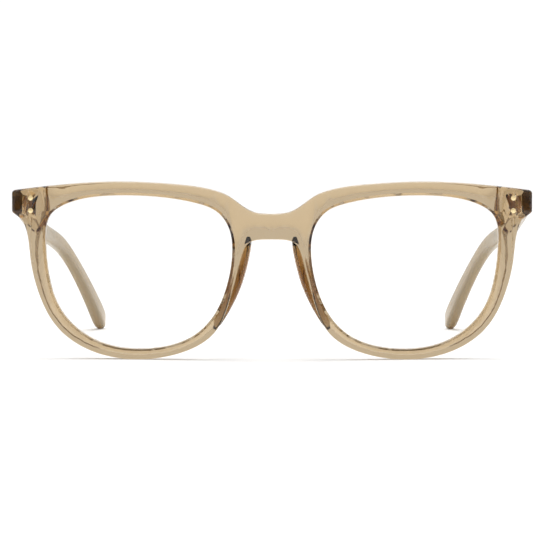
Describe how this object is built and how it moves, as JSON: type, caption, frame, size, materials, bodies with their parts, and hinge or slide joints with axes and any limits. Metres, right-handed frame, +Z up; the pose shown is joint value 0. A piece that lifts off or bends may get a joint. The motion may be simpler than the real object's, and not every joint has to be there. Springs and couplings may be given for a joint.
{
  "type": "blue light glasses",
  "caption": "Acetate eyeglasses with clear plano lenses, glued nose pads, riveted hinges and folding wire-cored temples.",
  "frame": {"origin": "on the surface that the rims and temple tips stand on, under the middle of the overall box", "axes": "+Z up from that surface, +Y from the bridge back to the temple tips, +X to the wearer's left"},
  "size_m": [0.142, 0.1419, 0.0483],
  "materials": {
    "acetate": "polished, see-through honey",
    "lens": "clear, anti-reflection coated",
    "hinge_metal": "satin, gold plated",
    "screw_steel": "satin",
    "rivet_metal": "polished",
    "core_metal": "satin"
  },
  "bodies": {
    "front": {"front_frame": "acetate", "right_lens": "lens", "right_nose_pad": "acetate", "right_front_hinge_leaf": "hinge_metal", "right_hinge_screw": "screw_steel", "right_front_rivets": "rivet_metal", "left_lens": "lens", "left_nose_pad": "acetate", "left_front_hinge_leaf": "hinge_metal", "left_hinge_screw": "screw_steel", "left_front_rivets": "rivet_metal"},
    "right_temple_arm": {"right_temple": "acetate", "right_temple_hinge_leaf": "hinge_metal", "right_temple_rivets": "rivet_metal", "right_core_wire": "core_metal"},
    "left_temple_arm": {"left_temple": "acetate", "left_temple_hinge_leaf": "hinge_metal", "left_temple_rivets": "rivet_metal", "left_core_wire": "core_metal"}
  },
  "joints": [
    {"name": "right_temple_fold", "type": "hinge", "parent": "front", "child": "right_temple_arm", "pos_m": [-0.06585, -0.05627, 0.042], "axis": [0, 0, -1], "range_deg": [0, 85]},
    {"name": "left_temple_fold", "type": "hinge", "parent": "front", "child": "left_temple_arm", "pos_m": [0.06585, -0.05627, 0.042], "axis": [0, 0, 1], "range_deg": [0, 81]}
  ]
}
